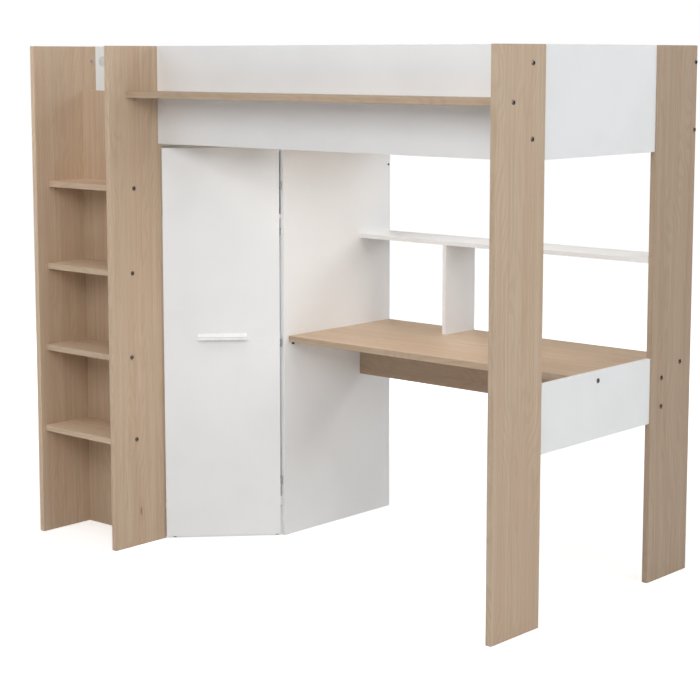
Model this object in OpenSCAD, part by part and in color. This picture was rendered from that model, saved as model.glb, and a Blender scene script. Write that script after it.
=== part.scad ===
// Loft bed with desk, corner wardrobe, ladder and bedside shelf.
// Origin: middle of the footprint, on the floor. +X to the desk end, +Y to the wall, +Z up.

/* [Overall] */
// Length over the end posts
bed_len = 2066; // [2000:1:2120]
// Depth from the ladder's front edge to the wall side
bed_depth = 1172; // [1130:1:1220]
// Height of the posts and of the boards' top edges
bed_h = 1800; // [1780:1:1860]
// Underside of the boards round the mattress
board_z = 1453; // [1445:1:1480]

/* [Panels] */
// Thickness of the wood-finish panels
wood_t = 22; // [20:1:24]
// Thickness of the white panels
white_t = 16; // [15:1:18]
// Thickness of the wardrobe's back sheet
sheet_t = 3; // [3:1:5]

/* [Posts] */
// Width of the two right-hand posts and of the inner ladder post
post_w = 244; // [230:1:260]
// Width of the ladder's outer side panel
side_w = 290; // [280:1:320]
// Width of the rear left post
rear_left_w = 340; // [300:1:360]
// How far the ladder stands in front of the right-hand post
ladder_proud = 57; // [40:1:70]
// How far the white end panels sit back from the posts' outer faces
end_recess = 6; // [0:1:6]

/* [Ladder and bedside shelf] */
// Clear width between the ladder's side panels
ladder_w = 385; // [360:1:400]
// Height of the panel behind the steps
ladder_back_h = 1638; // [1600:1:1660]
// Top of the lowest step
step_z = 404; // [380:1:420]
// Rise from one step to the next
step_rise = 302; // [280:1:305]
// Depth of the lowest step
step_depth = 204; // [190:1:210]
// How much shallower each step is than the one below it
step_taper = 12.5; // [0:0.5:14]
// Depth of the bedside shelf
shelf_depth = 150; // [120:1:160]
// Top of the bedside shelf
shelf_z = 1641; // [1600:1:1680]

/* [Desk] */
// Top of the desk
desk_z = 747; // [720:1:760]
// Depth of the desk top
desk_depth = 574; // [500:1:590]
// Radius of the desk top's front corners
desk_r = 8; // [2:1:12]
// Height of the rail under the desk
modesty_h = 172; // [120:1:180]
// Top of the small shelf over the desk
hutch_z = 1094; // [1050:1:1140]
// Depth of the small shelf over the desk
hutch_depth = 175; // [150:1:200]
// Distance from the wardrobe to the far face of the shelf's divider
divider_x = 418; // [300:1:600]
// Underside of the white panel under the desk's right end
low_panel_z = 547; // [520:1:580]
// Height of the white panel under the desk's right end
low_panel_h = 220; // [200:1:240]

/* [Wardrobe] */
// Width over the two sides
robe_w = 711; // [700:1:730]
// Depth of the right-hand side panel
robe_side_d = 597; // [590:1:602]
// Height of the carcass
robe_h = 1438; // [1420:1:1440]
// Underside of the floor panel
robe_floor_z = 131; // [120:1:150]
// Underside of the hat shelf
hat_shelf_z = 1180; // [1100:1:1220]
// Height of the rail across the foot of the doorway
plinth_h = 100; // [80:1:104]

/* [Door] */
// Width of the door
door_w = 420; // [415:1:421]
// Height of the door
door_h = 1430; // [1400:1:1430]
// Gap between the door and the ground
door_z = 8; // [8:1:12]
// Angle of the doorway from the bed's long side
door_ang = 46.8; // [46:0.1:47.5]
// Length of the handle
handle_l = 179; // [150:1:200]
// Middle of the handle above the ground
handle_z = 752; // [700:1:900]

/* [Bed base] */
// Number of slats
slat_n = 14; // [12:1:15]
// Width of a slat
slat_w = 70; // [60:1:80]
// Thickness of a slat
slat_t = 18; // [16:1:20]
// Underside of the rails that carry the slats
rail_z = 1470; // [1460:1:1480]
// Height of the rails that carry the slats
rail_h = 40; // [36:1:40]

/* [Hidden] */
$fn = 32;

// colours
oak = [0.73, 0.64, 0.54];
white = [0.92, 0.92, 0.90];
beech = [0.80, 0.70, 0.55];
steel = [0.62, 0.62, 0.64];
black = [0.08, 0.08, 0.08];

// faces of the frame, x from left to right and y from front to wall
x_right = bed_len / 2;
x_left = -bed_len / 2;
x_ri = x_right - wood_t;
x_li = x_left + wood_t;
y_front = -bed_depth / 2;
y_wall = bed_depth / 2;
y_in = y_front + post_w;
y_rear_in = y_wall - white_t;
y_post = y_front + ladder_proud;
y_fr_rear = y_post + post_w;
y_br_front = y_wall - post_w;
y_bl_front = y_wall - rear_left_w;
y_side_rear = y_front + side_w;
x_fl_in = x_li + ladder_w;
x_fl = x_fl_in + wood_t;
y_board = y_in - white_t / 2;
y_back_panel = y_in - wood_t / 2;
y_rear_board = y_wall - white_t / 2;

// wardrobe: outer and inner faces of its sides, and the doorway's own frame, whose origin is the
// door's hinge edge, a little inside the right-hand side's outer face and in front of its edge
x_robe = x_li + robe_w;
x_robe_in = x_robe - white_t;
x_robe_li = x_li + white_t;
y_robe_front = y_rear_in - robe_side_d;
y_robe_back = y_rear_in - sheet_t;
door_t = white_t;
door_in = 6.5;
door_fore = 16.5;
door_x = x_robe - door_in;
door_y = y_robe_front - door_fore;
seal_gap = 2;
edge_off = door_t + seal_gap;
edge_x = door_x - edge_off * sin(door_ang);
edge_y = door_y + edge_off * cos(door_ang);
function edge_at_y(y) = edge_x + (y - edge_y) / tan(door_ang);
function edge_at_x(x) = edge_y + (x - edge_x) * tan(door_ang);

// desk and its shelf: gap behind the desk, and places of the bolts from the desk's edges and top
desk_gap = 2;
desk_bolt_fore = 38;
desk_bolt_aft = 50;
modesty_bolt_drops = [149, 52];
y_desk_back = y_rear_in - desk_gap;
y_desk_front = y_desk_back - desk_depth;
desk_mid = desk_z - wood_t / 2;
y_hutch = y_desk_back - hutch_depth;
y_modesty = y_hutch + wood_t / 2;
hutch_mid = hutch_z - white_t / 2;
x_divider = x_robe + divider_x;
y_desk_bolts = [y_desk_front + desk_bolt_fore, y_desk_back - desk_bolt_aft];
z_modesty_bolts = [for (drop = modesty_bolt_drops) desk_z - drop];

// heights of the bolts in the boards round the mattress, from the boards' edges
hi_bolt_drop = 55;
lo_bolt_rise = 66;
low_panel_bolt_rises = [60, 150];
z_hi = bed_h - hi_bolt_drop;
z_lo = board_z + lo_bolt_rise;
z_low_panel = [for (rise = low_panel_bolt_rises) low_panel_z + rise];

// bolts of the ladder's back panel, and of the steps, measured from that panel, lowest step first
ladder_back_bolt_zs = [150, 850, 1560];
step_bolt_in = [116, 134, 125, 112];
step_dowel_in = 40;
y_steps = y_in - wood_t;
y_bedside = y_in - white_t - shelf_depth;
bedside_bolt_in = 61;
y_bedside_bolt = y_bedside + bedside_bolt_in;
bedside_mid = shelf_z - wood_t / 2;
function step_mid(i) = step_z + i * step_rise - wood_t / 2;
function step_d(i) = step_depth - i * step_taper;

// bolt: shank, its hole, and a low head with a wide sloping rim and a hexagon socket
bolt_d = 6;
bolt_hole = 7;
bolt_head_d = 16;
bolt_head_h = 2.5;
bolt_rim_h = 1.2;
bolt_rim_w = 3.2;
hex_key_d = 5.8;
hex_key_depth = 3.5;
// cross nut: place along the board, skin left over it, its slot, and what passes beyond it
nut_d = 10;
nut_x = 34;
nut_skin = 3;
nut_slot_w = 1.2;
nut_slot_depth = 1.5;
bolt_past_nut = 10;
bore_past_nut = 12;
// dowel: how far it goes into the side and into the board, and its distance from the nearest bolt
dowel_d = 8;
dowel_in = 12;
dowel_out = 22;
dowel_end_gap = 1;
dowel_from_bolt = 60;
left_dowel_from_bolt = 50;
// cam and its pin
cam_d = 15;
cam_x = 30;
cam_h = 12;
cam_sunk = 0.5;
cam_bore = 7;
cam_key_d = 5;
cam_pin_d = 6.8;
cam_neck_d = 6;
cam_pin_in = 10.5;
cam_head_l = 4.5;
cam_end_in = 60;
hutch_cam_in = 35;
// end-panel connector: pocket and its cap, rod and the nut in the post
cap_d = 35;
cap_x = 33;
cap_skin = 3;
cap_rim = 1;
cap_t = 1.2;
cap_plug = 3;
cap_wall = 2;
rod_foot_d = 9;
rod_foot_l = 10;
rod_past_cap = 4;
post_nut_x = 18;
post_nut_skin = 5;
post_nut_sunk = 0.5;
rod_past_nut = 8;
// pin under a shelf, and the shorter black one under the desk
pin_d = 10;
pin_l = 8;
desk_pin_d = 12;
desk_pin_l = 4;
// play between a fitting and its hole, and how far a cutting shape runs past a face
slip = 0.1;
past = 1;

// turns for a joint: the board leaves along its own +X, its fittings go in from its own +Z
right_up = [0, 0, 0];
right_down = [180, 0, 0];
right_rear = [-90, 0, 0];
right_front = [90, 0, 0];
left_down = [180, 0, 180];
left_rear = [90, 0, 180];
left_front = [-90, 0, 180];
back_left = [-90, 0, 90];
back_right = [90, 0, 90];
fore_left = [90, 0, -90];
fore_right = [-90, 0, -90];
up = [0, -90, 0];
down = [0, 90, 0];

// bolted joints: [place on the joint face, turn, board thickness, post thickness]
guard_right = [for (z = [z_hi, z_lo]) [[x_ri, y_board, z], left_rear, white_t, wood_t]];
guard_left = [[[x_fl, y_board, z_hi], right_rear, white_t, wood_t]];
rear_right = [for (z = [z_hi, z_lo]) [[x_ri, y_rear_board, z], left_front, white_t, wood_t]];
rear_left = [for (z = [z_hi, z_lo]) [[x_li, y_rear_board, z], right_front, white_t, wood_t]];
bedside_right = [[[x_ri, y_bedside_bolt, bedside_mid], left_down, wood_t, wood_t]];
bedside_left = [[[x_fl, y_bedside_bolt, bedside_mid], right_down, wood_t, wood_t]];
desk_low_panel = [[[x_ri, y_desk_bolts[0], desk_mid], left_down, wood_t, wood_t - end_recess]];
desk_post = [[[x_ri, y_desk_bolts[1], desk_mid], left_down, wood_t, wood_t]];
desk_robe = [for (y = y_desk_bolts) [[x_robe, y, desk_mid], right_down, wood_t, white_t]];
modesty_post = [for (z = z_modesty_bolts) [[x_ri, y_modesty, z], left_rear, wood_t, wood_t]];
modesty_robe = [for (z = z_modesty_bolts) [[x_robe, y_modesty, z], right_rear, wood_t, white_t]];
ladder_back = [for (z = ladder_back_bolt_zs) [[x_li, y_back_panel, z], right_rear, wood_t, wood_t]];
function step_left(i) = [[x_li, y_steps - step_bolt_in[i], step_mid(i)], right_down, wood_t, wood_t];
function step_right(i) = [[x_fl_in, y_steps - step_bolt_in[i], step_mid(i)], left_down, wood_t, wood_t];
steps_left = [for (i = [0:3]) step_left(i)];
steps_right = [for (i = [0:3]) step_right(i)];
all_bolts = concat(guard_right, guard_left, rear_right, rear_left, bedside_right, bedside_left,
    desk_low_panel, desk_post, desk_robe, modesty_post, modesty_robe, ladder_back, steps_left,
    steps_right);

// connector joints of the end panels: [place on the joint face, turn]
x_ep_right = x_ri + white_t / 2;
x_ep_left = x_li - white_t / 2;
z_upper = [z_hi, z_lo];
con_fr_up = [for (z = z_upper) [[x_ep_right, y_fr_rear, z], back_left]];
con_br_up = [for (z = z_upper) [[x_ep_right, y_br_front, z], fore_left]];
con_fr_low = [for (z = z_low_panel) [[x_ep_right, y_fr_rear, z], back_left]];
con_br_low = [for (z = z_low_panel) [[x_ep_right, y_br_front, z], fore_left]];
con_side = [for (z = z_upper) [[x_ep_left, y_side_rear, z], back_right]];
con_bl = [for (z = z_upper) [[x_ep_left, y_bl_front, z], fore_right]];
all_connectors = concat(con_fr_up, con_br_up, con_fr_low, con_br_low, con_side, con_bl);

// cam joints: [place on the joint face, turn, board thickness]
y_cams = [y_robe_front + cam_end_in, y_robe_back - cam_end_in];
function cam_pair(x, turn, z, ys) = [for (y = ys) [[x, y, z], turn, white_t]];
hutch_ys = [y_hutch + hutch_cam_in, y_desk_back - hutch_cam_in];
top_mid = robe_h - white_t / 2;
floor_mid = robe_floor_z + white_t / 2;
cams_hutch_robe = cam_pair(x_robe, right_down, hutch_mid, hutch_ys);
cams_hutch_post = cam_pair(x_ri, left_down, hutch_mid, hutch_ys);
cams_top_right = cam_pair(x_robe_in, left_down, top_mid, y_cams);
cams_top_left = cam_pair(x_robe_li, right_down, top_mid, y_cams);
cams_floor_right = cam_pair(x_robe_in, left_down, floor_mid, y_cams);
cams_floor_left = cam_pair(x_robe_li, right_down, floor_mid, y_cams);
all_cams = concat(cams_hutch_robe, cams_hutch_post, cams_top_right, cams_top_left,
    cams_floor_right, cams_floor_left);

// dowels: [place on the joint face, turn], the long half goes into the board
z_board_dowels = [z_hi - dowel_from_bolt, z_lo + dowel_from_bolt];
y_aft_dowel = y_desk_bolts[1] - dowel_from_bolt;
dow_guard_right = [for (z = z_board_dowels) [[x_ri, y_board, z], left_down]];
dow_guard_left = [for (z = [z_hi - left_dowel_from_bolt, z_lo]) [[x_fl, y_board, z], right_up]];
dow_rear_right = [for (z = z_board_dowels) [[x_ri, y_rear_board, z], left_down]];
dow_rear_left = [for (z = z_board_dowels) [[x_li, y_rear_board, z], right_up]];
dow_desk_post = [[[x_ri, y_aft_dowel, desk_mid], left_down]];
dow_desk_robe = [for (y = [y_desk_bolts[0] + dowel_from_bolt, y_aft_dowel])
    [[x_robe, y, desk_mid], right_up]];
dow_hutch_post = [[[x_ri, y_hutch + hutch_depth / 2, hutch_mid], left_down]];
dow_hutch_robe = [[[x_robe, y_hutch + hutch_depth / 2, hutch_mid], right_up]];
dow_div_low = [for (y = hutch_ys) [[x_divider - white_t / 2, y, desk_z], up]];
dow_div_high = [for (y = hutch_ys) [[x_divider - white_t / 2, y, hutch_z - white_t], down]];
dow_fr_up = [for (z = z_board_dowels) [[x_ep_right, y_fr_rear, z], back_left]];
dow_br_up = [for (z = z_board_dowels) [[x_ep_right, y_br_front, z], fore_left]];
dow_side = [for (z = z_board_dowels) [[x_ep_left, y_side_rear, z], back_right]];
dow_bl = [for (z = z_board_dowels) [[x_ep_left, y_bl_front, z], fore_right]];
function dow_step_left(i) = [[x_li, y_steps - step_dowel_in, step_mid(i)], right_up];
function dow_step_right(i) = [[x_fl_in, y_steps - step_dowel_in, step_mid(i)], left_down];
dow_steps_left = [for (i = [0:3]) dow_step_left(i)];
dow_steps_right = [for (i = [0:3]) dow_step_right(i)];
all_dowels = concat(dow_guard_right, dow_guard_left, dow_rear_right, dow_rear_left,
    dow_desk_post, dow_desk_robe, dow_hutch_post, dow_hutch_robe, dow_div_low, dow_div_high,
    dow_fr_up, dow_br_up, dow_side, dow_bl, dow_steps_left, dow_steps_right);

// hinges: heights, and the pin's place in the doorway's frame
hinge_zs = [210, 723, 1300];
hinge_px = 4.5;
hinge_py = 9;
knuckle_r = 3.5;
knuckle_h = 12;
knuckle_gap = 0.4;
knuckle_end = 8;
hinge_pin_d = 3;
cup_d = 35;
cup_x = 22;
cup_depth = 12;
cup_sunk = 0.2;
cup_wall = 1;
flange_past = 16;
leaf_t = 1.3;
link_x = 1.6;
link_w = 2.6;
link_back = 6;
// the arm's plate on the wardrobe side, the bar on it and the wings that its screws go through
arm_t = 1.8;
arm_foot = [-2.4, 0.6];
plate_t = 3;
plate_h = 12;
plate_y = [0.5, 50];
bar_x = [2, 9];
bar_y = [8, 48];
wing_h = 48;
wing_y = [28, 46];

// hanging rail and its cups
hang_y = 205;
hang_z = 1100;
hang_d = 25;
hang_wall = 1.2;
socket_l = 12;
socket_wall = 3;
socket_floor = 2;

// handle, and the pair of screws that holds it through the door
handle_h = 22;
handle_d = 22;
handle_lip = 3;
handle_back = 4;
handle_screw_x = 64;
handle_screw_up = 5;
handle_screw_d = 3.8;
handle_screw_in = 5.5;
screw_head_d = 8;
screw_head_h = 2;

// glides under the plinth, from the door's hinge edge and its far edge
glide_d = 14;
glide_in = 12;
glide_far_in = 30;

// stretcher under the wardrobe's top, and its screws
stretch_h = 80;
stretch_z = robe_h - white_t - stretch_h;
stretch_screw_in = 8;
stretch_screw_d = 4.8;
stretch_screw_l = 42;
stretch_screw_zs = [stretch_z + stretch_screw_in, stretch_z + stretch_h - stretch_screw_in];

// rails and slats
rail_t = 20;
rail_screw_n = 7;
rail_screw_end = 90;
rail_screw_d = 4.5;
rail_screw_hole = 5;
rail_head_d = 9;
rail_head_h = 2;
slat_end = 50;
slat_play = 1;
slat_x0 = x_li + slat_end;
slat_pitch = (x_ri - x_li - 2 * slat_end - slat_w) / (slat_n - 1);
slat_z = rail_z + rail_h;
strap_w = 16;
strap_t = 1;
strap_in = 160;
strap_end = 10;

// distances of the pins from the board edges
step_pin_in = [30, 20];
bedside_pin_in = [41, 25];
hat_pin_in = [90, 60];
desk_pin_in = 25;

// ---------- small helpers ----------

module place(j) {
    translate(j[0])
        rotate(j[1])
            children();
}

// a rod of diameter d along X
module xrod(x0, x1, d) {
    translate([x0, 0, 0])
        rotate([0, 90, 0])
            cylinder(h = x1 - x0, d = d);
}

// a panel between two corners
module slab(x0, x1, y0, y1, z0, z1) {
    translate([x0, y0, z0])
        cube([x1 - x0, y1 - y0, z1 - z0]);
}

// ---------- bolted joint: bolt, cross nut and their holes ----------

module bolt_cut(joints) {
    for (j = joints)
        place(j) {
            xrod(-j[3] - past, nut_x + bore_past_nut, bolt_hole);
            translate([nut_x, 0, nut_skin - j[2] / 2])
                cylinder(h = j[2], d = nut_d + 2 * slip);
        }
}

module bolt(joint) {
    head_x = -joint[3] - bolt_head_h;
    place(joint)
        difference() {
            union() {
                xrod(head_x + bolt_rim_h, -joint[3], bolt_head_d);
                translate([head_x, 0, 0])
                    rotate([0, 90, 0])
                        cylinder(h = bolt_rim_h, d1 = bolt_head_d - 2 * bolt_rim_w, d2 = bolt_head_d);
                xrod(-joint[3] - past, nut_x + bolt_past_nut, bolt_d);
            }
            translate([head_x - past, 0, 0])
                rotate([0, 90, 0])
                    cylinder(h = hex_key_depth + past, d = hex_key_d, $fn = 6);
        }
}

// slotted nut whose face lies a little below the board's
module cross_nut(joint) {
    nut_h = joint[2] - nut_skin - 1;
    place(joint)
        translate([nut_x, 0, nut_skin - joint[2] / 2])
            difference() {
                cylinder(h = nut_h, d = nut_d);
                translate([0, 0, joint[2] / 2 - nut_skin])
                    xrod(-nut_d, nut_d, bolt_d + 2 * slip);
                translate([-nut_d, -nut_slot_w / 2, nut_h - nut_slot_depth])
                    cube([2 * nut_d, nut_slot_w, 2 * nut_slot_depth]);
            }
}

// ---------- end-panel connector: rod, post nut, pocket and cap ----------

module connector_cut(joints) {
    for (j = joints)
        place(j) {
            xrod(-post_nut_x - bolt_past_nut, cap_x, bolt_hole);
            translate([-post_nut_x, 0, post_nut_skin - white_t / 2])
                cylinder(h = white_t, d = nut_d + 2 * slip);
            translate([cap_x, 0, cap_skin - white_t / 2])
                cylinder(h = white_t, d = cap_d);
        }
}

module connector_rod(joint) {
    place(joint) {
        xrod(-post_nut_x - rod_past_nut, cap_x + rod_past_cap, bolt_d);
        xrod(cap_x + rod_past_cap - rod_foot_l, cap_x + rod_past_cap, rod_foot_d);
    }
}

module connector_nut(joint) {
    nut_z = post_nut_skin + post_nut_sunk - white_t / 2;
    place(joint)
        translate([-post_nut_x, 0, nut_z])
            difference() {
                cylinder(h = white_t + 1, d = nut_d);
                translate([0, 0, -nut_z])
                    xrod(-nut_d, nut_d, bolt_d + 2 * slip);
            }
}

module connector_cap(joint) {
    place(joint)
        translate([cap_x, 0, white_t / 2])
            difference() {
                union() {
                    cylinder(h = cap_t, d = cap_d + 2 * cap_rim);
                    translate([0, 0, -cap_plug])
                        cylinder(h = cap_plug + cap_t / 2, d = cap_d - 2 * slip);
                }
                translate([0, 0, -cap_plug - past])
                    cylinder(h = cap_plug + past + cap_t / 6, d = cap_d - 2 * cap_wall);
            }
}

// ---------- cam joint: cam, pin and their holes ----------

module cam_cut(joints) {
    for (j = joints)
        place(j) {
            xrod(-cam_pin_in - cam_sunk, cam_x, cam_bore);
            translate([cam_x, 0, j[2] / 2 - cam_h - 2 * cam_sunk])
                cylinder(h = cam_h + 2, d = cam_d + 2 * slip);
        }
}

module cam_lock(joint) {
    place(joint)
        translate([cam_x, 0, joint[2] / 2 - cam_h - cam_sunk])
            difference() {
                cylinder(h = cam_h, d = cam_d);
                translate([0, 0, cam_h + cam_sunk - joint[2] / 2])
                    xrod(-cam_d, 3, cam_bore);
                translate([0, 0, cam_h - 2])
                    cylinder(h = 2 + past, d = cam_key_d, $fn = 6);
            }
}

module cam_pin(joint) {
    place(joint) {
        xrod(-cam_pin_in, 0, cam_pin_d);
        xrod(-0.5, cam_x - 3, cam_neck_d);
        xrod(cam_x + 1 - cam_head_l, cam_x + 1, cam_pin_d);
    }
}

// ---------- dowel and its hole ----------

module dowel_cut(joints) {
    for (j = joints)
        place(j)
            xrod(-dowel_in - dowel_end_gap / 2, dowel_out + dowel_end_gap, dowel_d);
}

module dowel(joint) {
    place(joint)
        xrod(-dowel_in, dowel_out, dowel_d - slip);
}

// ---------- posts and ladder ----------

module post_front_right() {
    color(oak)
        difference() {
            slab(x_ri, x_right, y_post, y_fr_rear, 0, bed_h);
            bolt_cut(concat(guard_right, bedside_right));
            connector_cut(concat(con_fr_up, con_fr_low));
            dowel_cut(concat(dow_guard_right, dow_fr_up));
        }
}

module post_rear_right() {
    color(oak)
        difference() {
            slab(x_ri, x_right, y_br_front, y_wall, 0, bed_h);
            bolt_cut(concat(rear_right, desk_post, modesty_post));
            connector_cut(concat(con_br_up, con_br_low));
            cam_cut(cams_hutch_post);
            dowel_cut(concat(dow_rear_right, dow_desk_post, dow_hutch_post, dow_br_up));
        }
}

module post_front_left() {
    color(oak)
        difference() {
            slab(x_fl_in, x_fl, y_front, y_in, 0, bed_h);
            bolt_cut(concat(guard_left, bedside_left, steps_right));
            dowel_cut(concat(dow_guard_left, dow_steps_right));
        }
}

module post_rear_left() {
    color(oak)
        difference() {
            slab(x_left, x_li, y_bl_front, y_wall, 0, bed_h);
            bolt_cut(rear_left);
            connector_cut(con_bl);
            dowel_cut(concat(dow_rear_left, dow_bl));
        }
}

module ladder_side_panel() {
    color(oak)
        difference() {
            slab(x_left, x_li, y_front, y_side_rear, 0, bed_h);
            bolt_cut(concat(ladder_back, steps_left));
            connector_cut(con_side);
            dowel_cut(concat(dow_side, dow_steps_left));
        }
}

module ladder_back_panel() {
    color(oak)
        difference() {
            slab(x_li, x_fl_in, y_in - wood_t, y_in, 0, ladder_back_h);
            bolt_cut(ladder_back);
        }
}

// step i, the lowest is 0
module ladder_step(i) {
    color(oak)
        difference() {
            slab(x_li, x_fl_in, y_steps - step_d(i), y_steps,
                step_mid(i) - wood_t / 2, step_mid(i) + wood_t / 2);
            bolt_cut([step_left(i), step_right(i)]);
            dowel_cut([dow_step_left(i), dow_step_right(i)]);
        }
}

// ---------- boards round the mattress ----------

module guard_board_front() {
    color(white)
        difference() {
            slab(x_fl, x_ri, y_in - white_t, y_in, board_z, bed_h);
            bolt_cut(concat(guard_right, guard_left));
            dowel_cut(concat(dow_guard_right, dow_guard_left));
        }
}

module board_rear() {
    color(white)
        difference() {
            slab(x_li, x_ri, y_rear_in, y_wall, board_z, bed_h);
            bolt_cut(concat(rear_right, rear_left));
            dowel_cut(concat(dow_rear_right, dow_rear_left));
        }
}

module end_panel_upper_right() {
    color(white)
        difference() {
            slab(x_ri, x_ri + white_t, y_fr_rear, y_br_front, board_z, bed_h);
            connector_cut(concat(con_fr_up, con_br_up));
            dowel_cut(concat(dow_fr_up, dow_br_up));
        }
}

module end_panel_lower_right() {
    color(white)
        difference() {
            slab(x_ri, x_ri + white_t, y_fr_rear, y_br_front, low_panel_z, low_panel_z + low_panel_h);
            connector_cut(concat(con_fr_low, con_br_low));
            bolt_cut(desk_low_panel);
        }
}

module end_panel_upper_left() {
    color(white)
        difference() {
            slab(x_li - white_t, x_li, y_side_rear, y_bl_front, board_z, bed_h);
            connector_cut(concat(con_side, con_bl));
            dowel_cut(concat(dow_side, dow_bl));
        }
}

module bedside_shelf() {
    color(oak)
        difference() {
            slab(x_fl, x_ri, y_bedside, y_in - white_t, shelf_z - wood_t, shelf_z);
            bolt_cut(concat(bedside_right, bedside_left));
        }
}

// ---------- desk ----------

// top with rounded front corners
module desk_top() {
    color(oak)
        difference() {
            translate([0, 0, desk_z - wood_t])
                linear_extrude(wood_t)
                    union() {
                        translate([x_robe, y_desk_front + desk_r])
                            square([x_ri - x_robe, desk_depth - desk_r]);
                        translate([x_robe + desk_r, y_desk_front])
                            square([x_ri - x_robe - 2 * desk_r, 2 * desk_r]);
                        for (x = [x_robe + desk_r, x_ri - desk_r])
                            translate([x, y_desk_front + desk_r])
                                circle(r = desk_r);
                    }
            bolt_cut(concat(desk_low_panel, desk_post, desk_robe));
            dowel_cut(concat(dow_desk_post, dow_desk_robe, dow_div_low));
        }
}

module modesty_rail() {
    color(oak)
        difference() {
            slab(x_robe, x_ri, y_hutch, y_hutch + wood_t, desk_z - wood_t - modesty_h, desk_z - wood_t);
            bolt_cut(concat(modesty_post, modesty_robe));
        }
}

module hutch_shelf() {
    color(white)
        difference() {
            slab(x_robe, x_ri, y_hutch, y_desk_back, hutch_z - white_t, hutch_z);
            cam_cut(concat(cams_hutch_robe, cams_hutch_post));
            dowel_cut(concat(dow_hutch_robe, dow_hutch_post, dow_div_high));
        }
}

module hutch_divider() {
    color(white)
        difference() {
            slab(x_divider - white_t, x_divider, y_hutch, y_desk_back, desk_z, hutch_z - white_t);
            dowel_cut(concat(dow_div_low, dow_div_high));
        }
}

// ---------- wardrobe ----------

// outline shared by the wardrobe's level panels, with the doorway's slanting edge
module robe_plan() {
    polygon([[x_robe_li, y_in], [edge_at_y(y_in), y_in], [x_robe_in, edge_at_x(x_robe_in)],
        [x_robe_in, y_robe_back], [x_robe_li, y_robe_back]]);
}

module robe_panel(z, cams) {
    color(white)
        difference() {
            translate([0, 0, z])
                linear_extrude(white_t)
                    robe_plan();
            cam_cut(cams);
        }
}

// the back sheet, which sits in rebates in the two sides
module back_sheet(play) {
    slab(x_robe_li - white_t / 2 - play, x_robe_in + white_t / 2 + play, y_robe_back,
        y_rear_in + play, robe_floor_z - play, robe_h + play);
}

module wardrobe_side_right() {
    color(white)
        difference() {
            slab(x_robe_in, x_robe, y_robe_front, y_rear_in, 0, robe_h);
            back_sheet(slip);
            bolt_cut(concat(desk_robe, modesty_robe));
            cam_cut(concat(cams_hutch_robe, cams_top_right, cams_floor_right));
            dowel_cut(concat(dow_desk_robe, dow_hutch_robe));
            stretcher_screw_holes(x_robe);
        }
}

module wardrobe_side_left() {
    color(white)
        difference() {
            slab(x_li, x_robe_li, y_in, y_rear_in, 0, robe_h);
            back_sheet(slip);
            cam_cut(concat(cams_top_left, cams_floor_left));
        }
}

module wardrobe_back() {
    color(white)
        back_sheet(0);
}

module wardrobe_floor() {
    robe_panel(robe_floor_z, concat(cams_floor_right, cams_floor_left));
}

module wardrobe_top() {
    robe_panel(robe_h - white_t, concat(cams_top_right, cams_top_left));
}

module wardrobe_hat_shelf() {
    robe_panel(hat_shelf_z, []);
}

module wardrobe_stretcher() {
    color(white)
        difference() {
            slab(x_robe_li, x_robe_in, y_robe_back - white_t, y_robe_back,
                stretch_z, stretch_z + stretch_h);
            stretcher_screw_holes(x_robe);
        }
}

// two screws through the right-hand side into the stretcher's end
module stretcher_screw_holes(x) {
    for (z = stretch_screw_zs)
        translate([x, y_robe_back - white_t / 2, z])
            xrod(-stretch_screw_l - 3, past, stretch_screw_d + 2 * slip);
}

module stretcher_screws() {
    color(black)
        for (z = stretch_screw_zs)
            translate([x_robe, y_robe_back - white_t / 2, z]) {
                xrod(0, screw_head_h, screw_head_d);
                xrod(-stretch_screw_l, 0.5, stretch_screw_d);
            }
}

// rail across the foot of the doorway, behind the door
module wardrobe_plinth() {
    color(white)
        translate([0, 0, door_z])
            linear_extrude(plinth_h)
                polygon([[edge_at_y(y_in), y_in], [x_robe_in, edge_at_x(x_robe_in)],
                    [x_robe_in, edge_at_x(x_robe_in) + white_t / cos(door_ang)],
                    [edge_at_y(y_in) - white_t / sin(door_ang), y_in]]);
}

module plinth_glides() {
    color(steel)
        for (s = [-glide_in, glide_far_in - door_w])
            doorway()
                translate([s, edge_off + white_t / 2, 0])
                    cylinder(h = door_z, d = glide_d);
}

// children drawn in the doorway's frame: x along the door, 0 at its hinge edge,
// y from its outer face into the wardrobe
module doorway() {
    translate([door_x, door_y, 0])
        rotate([0, 0, door_ang])
            children();
}

module wardrobe_door() {
    color(white)
        doorway()
            difference() {
                translate([-door_w, 0, door_z])
                    cube([door_w, door_t, door_h]);
                for (z = hinge_zs)
                    translate([-cup_x, door_t - cup_depth, z])
                        rotate([-90, 0, 0])
                            cylinder(h = cup_depth + past, d = cup_d + 2 * slip);
                for (s = [-1, 1])
                    translate([s * handle_screw_x - door_w / 2, -past, handle_z + handle_screw_up])
                        rotate([-90, 0, 0])
                            cylinder(h = door_t + 2 * past, d = handle_screw_d + 1.2);
            }
}

// grip with a sloping top and a hollow for the fingers underneath
module handle_section() {
    polygon([[0, handle_h / 2], [-3, handle_h / 2], [2 - handle_d, 0.5], [-handle_d, -1.5],
        [-handle_d, -handle_h / 2], [0, -handle_h / 2]]);
}

module handle_hollow() {
    polygon([[-handle_back, -handle_h / 2 - 1], [-handle_back, 0], [-handle_d + handle_lip + 2, -3],
        [handle_lip - handle_d, -5], [handle_lip - handle_d, -handle_h / 2 - 1]]);
}

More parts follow.
